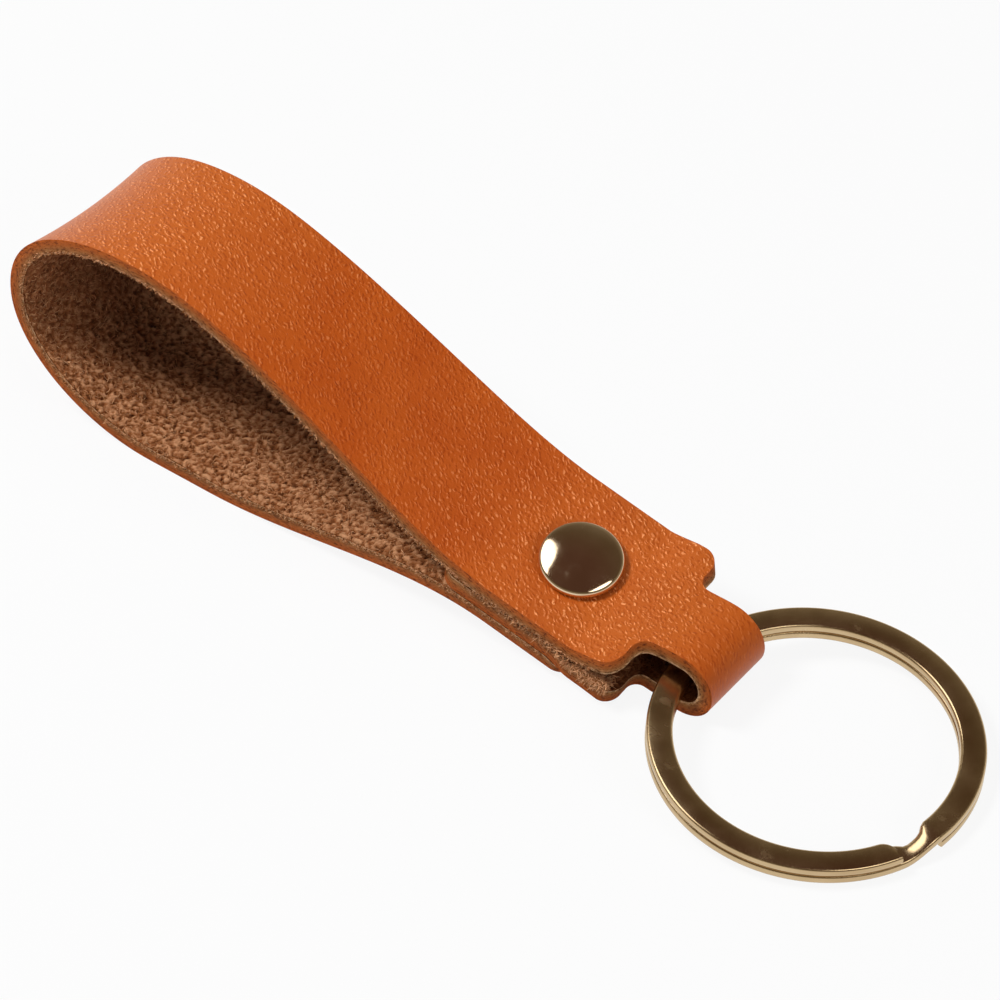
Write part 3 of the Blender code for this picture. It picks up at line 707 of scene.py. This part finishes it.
mat(
    "nap_in_loop",
    first=at_loop_end - LOOP_NAP_BEFORE,
    last=loop_stop + LOOP_NAP_AFTER,
    thickness=nap_in_loop,
    fineness=LOOP_FINENESS,
)
mat(
    "nap_on_tail",
    first=TAIL_NAP_START,
    last=tail_end - TAIL_NAP_STOP,
    thickness=nap_on_tail,
    fineness=TAIL_FINENESS,
)

# The hairs. Most stand in the loop, and the fringe is mostly on the edge that is near the eye.
ROOT_SUNK = 0.02 * MM
HAIRS_BEFORE_END = 2 * MM
TUFTS = 1900
TUFTS_FROM_END = 1.0 * MM
TUFT_SUNK = 0.05 * MM
FRINGE = 5200
FRINGE_FROM_END = 3 * MM
FRINGE_FROM_FOLD = 11.5 * MM
NEAR_SHARE = 0.8
hairs_turn = at_loop_end - HAIRS_BEFORE_END
# Hairs under the top run get darker tones than those below: painted shade inside the loop.
for name, count, first, last, lift, tones in (
    ("suede_nap_under", 7500, hairs_turn, loop_stop, (0.1, 0.38), (0.62, 0.22)),
    ("suede_nap_over", 6500, loop_start, hairs_turn, (0.02, 0.14), (0.28, 0.1)),
):
    fibres(
        name,
        length=draw.uniform(first, last, count),
        across=draw.uniform(-0.99, 0.99, count) * half_strap,
        depth=np.full(count, LEATHER - ROOT_SUNK),
        heading_from_x=draw.uniform(0, 2 * math.pi, count),
        lift=lift,
        size=(0.25, 0.75),
        tones=tones,
    )
fibres(
    "tail_tufts",
    length=tail_end - TUFTS_FROM_END - np.abs(draw.normal(0, 3.0, TUFTS)) * MM,
    across=-half_strap + np.abs(draw.normal(0, 0.7, TUFTS)) * MM,
    depth=np.full(TUFTS, LEATHER - TUFT_SUNK),
    heading_from_x=draw.normal(-math.pi / 2, 1.2, TUFTS),
    lift=(0.2, 0.85),
    size=(0.35, 1.0),
    tones=(0.8, 0.26),
)
side_of = np.where(draw.uniform(0, 1, FRINGE) < NEAR_SHARE, -1.0, 1.0)
along_strip = draw.uniform(FRINGE_FROM_END, strip_length - FRINGE_FROM_END, FRINGE)
off_neck = np.abs(along_strip - at_fold) > FRINGE_FROM_FOLD
along_strip, side_of = along_strip[off_neck], side_of[off_neck]
count = len(along_strip)
fibres(
    "edge_fringe",
    length=along_strip,
    across=side_of * (half_strap - ROOT_SUNK),
    depth=LEATHER - draw.uniform(0.0, 0.3, count) * MM,
    heading_from_x=side_of * math.pi / 2 + draw.normal(0, 1.2, count),
    lift=(-0.14, 0.14),
    size=(0.13, 0.4),
    tones=(0.68, 0.25),
)

# Rivet. Two domed caps of thin plated brass sheet, 7.8 mm across, are pressed together through
# the three layers: one on top and one underneath, with rims rolled under against the leather.
CAP_RADIUS = 3.9 * MM
CAP_RISE = 1.35 * MM
RIM_ROUND = 0.45 * MM
SHEET = 0.25 * MM
CAP_LIP = 0.6 * MM
SEAT_GAP = 0.05 * MM
SUNK = 0.1 * MM
CAP_STEPS = 96
ARC_STEPS = 12
MERGED = 0.0001 * MM
slope = heading(-STACK_SLOPE)
lean = math.radians(STACK_LEAN)
along = Vector((slope.x, 0, slope.y))
across = Vector((0, math.cos(lean), math.sin(lean)))
normal = along.cross(across).normalized()
stack_middle = (stack_spot(0, 0) + stack_spot(0, STACK)) / 2
gripped = stack_spot(0, STACK) - stack_spot(0, 0)
grip = Vector((gripped.x, 0, gripped.y)).dot(normal)
stand = Matrix((normal.cross(along).cross(normal), normal.cross(along), normal)).transposed()
rivet_middle = Vector((stack_middle.x, 0, stack_middle.y)) + RIVET_OFFSET * across + rivet_foot
rivet_stand = Matrix.Translation(rivet_middle) @ stand.to_4x4()

# Fine rub marks, where pockets and table tops have dulled the plating.
rubbed, place, result = pattern_group("rub_marks", Mark="Float")
specks = add(rubbed, "ShaderNodeTexNoise", in_Scale=600.0, in_Detail=2.0, in_Vector=place)
fill(result, in_Mark=spread(rubbed, specks.outputs["Fac"], 0.6, 0.8, how="SMOOTHSTEP"))


def plating(name, patch_scale, patch_detail, tones, polish, rub):
    """Plated brass, uneven in tone and polish in soft patches, and duller where it is rubbed."""
    made = bpy.data.materials.new(name)
    tree, shader = nodes_of(made)
    place = add(tree, "ShaderNodeTexCoord").outputs["Object"]
    patches = add(tree, "ShaderNodeTexNoise", in_Scale=patch_scale, in_Detail=patch_detail)
    patches = fill(patches, in_Vector=place).outputs["Fac"]
    marks = add(tree, "ShaderNodeGroup", node_tree=rubbed, in_Place=place).outputs["Mark"]
    dull = maths(tree, "MULTIPLY_ADD", marks, rub, ramp(tree, patches, polish))
    fill(shader, in_Metallic=1.0, in_Base_Color=ramp(tree, patches, tones), in_Roughness=dull)
    return made, patches


brass, _ = plating(
    "rivet_brass",
    patch_scale=420.0,
    patch_detail=4.0,
    tones=[(0.3, "#d8bf9c"), (0.7, "#e6d0b0")],
    polish=[(0.3, 0.05), (0.75, 0.12)],
    rub=0.15,
)


def dome(name, node, underneath):
    """Turns one cap's section about the rivet's axis and sets it on its face of the leather."""
    rim, rise = CAP_RADIUS - RIM_ROUND, CAP_RISE - RIM_ROUND
    crown = (rim**2 + rise**2 - RIM_ROUND**2) / (2 * (rise - RIM_ROUND))
    top = Vector((0, SEAT_GAP + CAP_RISE - crown))
    roll = Vector((rim, SEAT_GAP + RIM_ROUND))
    meets = math.degrees(math.atan2(roll.y - top.y, rim))
    steps = range(ARC_STEPS + 1)
    section = [top + crown * heading(90 + (meets - 90) * i / ARC_STEPS) for i in steps[:-1]]
    section += [roll + RIM_ROUND * heading(meets - (meets + 90) * i / ARC_STEPS) for i in steps]
    section += [Vector((rim - CAP_LIP, SEAT_GAP)), Vector((rim - CAP_LIP, SEAT_GAP + SHEET))]
    inner, under = RIM_ROUND - SHEET, crown - SHEET
    section += [roll + inner * heading(-90 + (meets + 90) * i / ARC_STEPS) for i in steps]
    section += [top + under * heading(meets + (90 - meets) * i / ARC_STEPS) for i in steps[1:]]
    points = [Vector((max(p.x, 0.0), 0.0, p.y)) for p in section]
    points[0].x = points[-1].x = 0.0
    bpy.ops.object.select_all(action="DESELECT")
    bpy.ops.mesh.primitive_plane_add(size=MM, location=(0, 0, 0))
    cap = bpy.context.object
    cap.name = name
    bpy.ops.object.mode_set(mode="EDIT")
    bpy.ops.mesh.select_all(action="SELECT")
    bpy.ops.mesh.merge(type="CENTER")
    bpy.ops.transform.translate(value=points[0])
    for start, end in zip(points, points[1:]):
        bpy.ops.mesh.extrude_region_move(TRANSFORM_OT_translate={"value": end - start})
    bpy.ops.mesh.select_all(action="SELECT")
    bpy.ops.mesh.spin(steps=CAP_STEPS, angle=2 * math.pi, center=(0, 0, 0), axis=(0, 0, 1))
    bpy.ops.mesh.select_all(action="SELECT")
    bpy.ops.mesh.remove_doubles(threshold=MERGED)
    bpy.ops.mesh.normals_make_consistent(inside=False)
    bpy.ops.object.mode_set(mode="OBJECT")
    flip = Matrix.Rotation(math.pi, 4, "X") if underneath else Matrix.Identity(4)
    cap.data.transform(rivet_stand @ flip @ Matrix.Translation((0, 0, grip / 2 - SUNK)))
    bpy.ops.object.shade_smooth_by_angle(angle=math.radians(SMOOTH_ANGLE))
    cap.data.materials.append(brass)
    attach(cap, "fob")
    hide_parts(node)


dome("rivet_top_cap", "rivet_cap", False)
dome("rivet_under_cap", "rivet_back_cap", True)
for name in ("rivet_post", "rivet_socket"):
    frame["nodes"][name].data.materials.clear()
    frame["nodes"][name].data.materials.append(brass)

# Split ring. Flat brass-plated wire, 2.4 by 0.84 mm, is wound twice to 30 mm across, and its
# two turns are pressed flat on each other, with one step where the wire climbs between them.
RING_RADIUS = 15.0 * MM
WIRE_WIDTH = 2.37 * MM
WIRE_THICKNESS = 0.84 * MM
WIRE_ROUND = 0.28 * MM
TURN_GAP = 0.1 * MM
RING_YAW = 7.0
RING_TILT = 5.254
ONE_TURN = 360
STEP_START = -23.0
STEP_TURN = 14.5
END_CLEARANCE = 1.5
STEP_NARROWING = 0.6 * MM
STEP_PRESSED = 0.75 * MM
PRESSED_DOWN = 0.2
TIP_ROUND = 1.3 * MM
TIP_STEPS = 10
WIRE_TURN = 2.0
CORNER_STEPS = 3
CREASE_ANGLE = 35
RING_RELIEF = 0.1 * MM
RING_RELIEF_SHARE = 0.12
middle_radius = RING_RADIUS - WIRE_WIDTH / 2
bow = middle_radius - math.sqrt(middle_radius**2 - (NECK_WIDTH / 2) ** 2)
last_turn = 2 * ONE_TURN - STEP_TURN - 2 * END_CLEARANCE
climb_start = ONE_TURN - END_CLEARANCE - STEP_TURN
tip_turn = math.degrees(TIP_ROUND / middle_radius)
rounded = [1 - math.cos(math.radians(90 / TIP_STEPS * i)) for i in range(TIP_STEPS)]
tip_turns = np.array([tip_turn * share for share in rounded])
even = np.linspace(tip_turn, last_turn - tip_turn, round(last_turn / WIRE_TURN))
turns = np.concatenate([tip_turns, even, last_turn - tip_turns[::-1]])
climb = eased((turns - climb_start) / STEP_TURN)
level = (climb - 0.5) * (WIRE_THICKNESS + TURN_GAP)
in_step = eased(1 - np.abs(2 * (turns - climb_start) / STEP_TURN - 1) ** 2)
from_end = middle_radius * np.radians(np.minimum(turns, last_turn - turns))
pressed = WIRE_ROUND + STEP_PRESSED * in_step
tip = TIP_ROUND - np.sqrt(np.maximum(TIP_ROUND**2 - np.maximum(TIP_ROUND - from_end, 0) ** 2, 0))
inner_radius = RING_RADIUS - WIRE_WIDTH + STEP_NARROWING * in_step + tip
towards = np.radians(STEP_START + STEP_TURN + END_CLEARANCE + turns)
loops = []
for quarter, (side, up) in enumerate(((1, 1), (0, 1), (0, 0), (1, 0))):
    for i in range(CORNER_STEPS + 1):
        bend = math.radians(90 * quarter + 90 / CORNER_STEPS * i)
        if side:
            radius = RING_RADIUS - WIRE_ROUND + np.full_like(turns, WIRE_ROUND * math.cos(bend))
            corner = WIRE_ROUND
        else:
            radius = inner_radius + pressed * (1 + math.cos(bend))
            corner = WIRE_ROUND + PRESSED_DOWN * (pressed - WIRE_ROUND) * up
        flat_height = (WIRE_THICKNESS / 2 - corner) * (1 if up else -1)
        height = level + flat_height + corner * math.sin(bend)
        loops.append(np.stack([radius * np.cos(towards), radius * np.sin(towards), height], axis=1))
points = np.stack(loops, axis=1)
count, around = points.shape[:2]
ring, along_wire, around_wire = flat_sheet("split_ring_wire", count, around + 1)
lay_points(ring.data, points[along_wire, around_wire % around])
bpy.ops.object.mode_set(mode="EDIT")
bpy.ops.mesh.select_all(action="SELECT")
bpy.ops.mesh.remove_doubles(threshold=MERGED)
bpy.ops.mesh.fill_holes(sides=0)
bpy.ops.mesh.select_all(action="SELECT")
bpy.ops.mesh.normals_make_consistent(inside=False)
bpy.ops.object.mode_set(mode="OBJECT")
yaw = math.radians(RING_YAW)
reach = Matrix.Translation((middle_radius - bow / 2, 0, 0)) @ Matrix.Rotation(yaw, 4, "Z")
tilt = Matrix.Rotation(-yaw, 4, "Z") @ Matrix.Rotation(math.radians(RING_TILT), 4, "Y")
ring.data.transform(Matrix.Translation(hinge) @ tilt @ reach)
bpy.ops.object.shade_smooth_by_angle(angle=math.radians(CREASE_ANGLE))

plated, cloudy = plating(
    "ring_brass",
    patch_scale=260.0,
    patch_detail=5.0,
    tones=[(0.3, "#bfa57e"), (0.7, "#d0b68e")],
    polish=[(0.3, 0.16), (0.75, 0.3)],
    rub=0.12,
)
tree, shader = nodes_of(plated)
fill(shader, in_Normal=bumped(tree, cloudy, RING_RELIEF, RING_RELIEF_SHARE))
ring.data.materials.append(plated)
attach(ring, "ring")
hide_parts("split_ring")

# Table and light. A plain pale table top, a hair under the fob, three soft lamps from the near
# left, above and the right, and two windows and a dark ceiling that only gloss sees, so that
# the metal has something to mirror.
TABLE_SIZE = 4
TABLE_BELOW = 0.02 * MM
TABLE_GREY = (0.66, 0.66, 0.66, 1)
TABLE_GLOW = 0.9
CEILING_RADIUS = 3.0
CEILING_HEIGHT = 0.7
LAMP_DISTANCE = 0.6
DIM_ROOM = 0.06


def looked_at(tree):
    """1 for what the camera sees, straight or by gloss or glass, and 0 for what lights others."""
    rays = add(tree, "ShaderNodeLightPath").outputs
    seen = maths(tree, "MAXIMUM", rays["Is Camera Ray"], rays["Is Glossy Ray"])
    return maths(tree, "MAXIMUM", seen, rays["Is Transmission Ray"])


bpy.ops.object.select_all(action="DESELECT")
bpy.ops.mesh.primitive_plane_add(size=TABLE_SIZE, location=(0, 0, 0))
table = bpy.context.object
table.name = "table_top"
table.data.transform(Matrix.Translation((0, 0, -TABLE_BELOW)))
pale = bpy.data.materials.new("pale_table")
tree, shader = nodes_of(pale)
fill(shader, in_Base_Color=TABLE_GREY, in_Roughness=0.9, in_Specular_IOR_Level=0.1)
glow = add(tree, "ShaderNodeEmission", in_Color=(1, 1, 1, 1), in_Strength=1.0)
blend = add(tree, "ShaderNodeMixShader", in_0=maths(tree, "MULTIPLY", looked_at(tree), TABLE_GLOW))
fill(blend, in_1=shader.outputs[0], in_2=glow.outputs[0])
fill(tree.nodes["Material Output"], in_Surface=blend.outputs[0])
table.data.materials.append(pale)

bpy.ops.object.select_all(action="DESELECT")
bpy.ops.mesh.primitive_circle_add(
    vertices=64, radius=CEILING_RADIUS, fill_type="NGON", location=(0, 0, 0)
)
ceiling = bpy.context.object
ceiling.name = "dark_ceiling"
ceiling.data.transform(Matrix.Translation((0, 0, CEILING_HEIGHT)))
dark = bpy.data.materials.new("dark_ceiling")
tree, shader = nodes_of(dark)
tree.nodes.remove(shader)
place = add(tree, "ShaderNodeTexCoord").outputs["Object"]
off_middle = add(tree, "ShaderNodeVectorMath", operation="LENGTH", in_0=place).outputs["Value"]
stops = [
    (0.05, (0.09, 0.047, 0.033, 1)),
    (0.35, (0.108, 0.078, 0.048, 1)),
    (1.0, (0.3, 0.26, 0.2, 1)),
]
shades = ramp(tree, spread(tree, off_middle, 0.7, 1.3), stops)
glow = add(tree, "ShaderNodeEmission", in_Strength=1.0, in_Color=shades)
fill(tree.nodes["Material Output"], in_Surface=glow.outputs[0])
ceiling.data.materials.append(dark)
ceiling.visible_camera = False
ceiling.visible_diffuse = False
ceiling.visible_shadow = False
ceiling.visible_transmission = False

world = bpy.data.worlds.new("studio")
bpy.context.scene.world = world
world.use_nodes = True
tree = world.node_tree
strength = spread(tree, looked_at(tree), 0.0, 1.0, least=DIM_ROOM, most=1.0)
fill(tree.nodes["Background"], in_Color=(1, 1, 1, 1), in_Strength=strength)

for name, azimuth, elevation, wide, tall, watts, mirrored in (
    ("front_lamp", -146, 57, 0.2, 0.2, 3.3, False),
    ("overhead_lamp", 60, 80, 0.3, 0.3, 0.55, False),
    ("right_lamp", -8, 24, 0.3, 0.3, 1.4, False),
    ("window", 184, 60, 0.42, 0.3, 0.94, True),
    ("side_window", 4, 60, 0.3, 0.15, 0.34, True),
):
    turn, rise = math.radians(azimuth), math.radians(elevation)
    towards_lamp = Vector(
        (math.cos(turn) * math.cos(rise), math.sin(turn) * math.cos(rise), math.sin(rise))
    )
    bpy.ops.object.light_add(type="AREA", location=towards_lamp * LAMP_DISTANCE)
    lamp = bpy.context.object
    lamp.name = name
    lamp.data.shape = "ELLIPSE"
    lamp.data.size, lamp.data.size_y = wide, tall
    lamp.data.energy = watts
    lamp.visible_diffuse = not mirrored
    lamp.visible_glossy = mirrored
    lamp.rotation_euler = (-towards_lamp).to_track_quat("-Z", "Y").to_euler()

bpy.context.scene.view_settings.view_transform = "Standard"
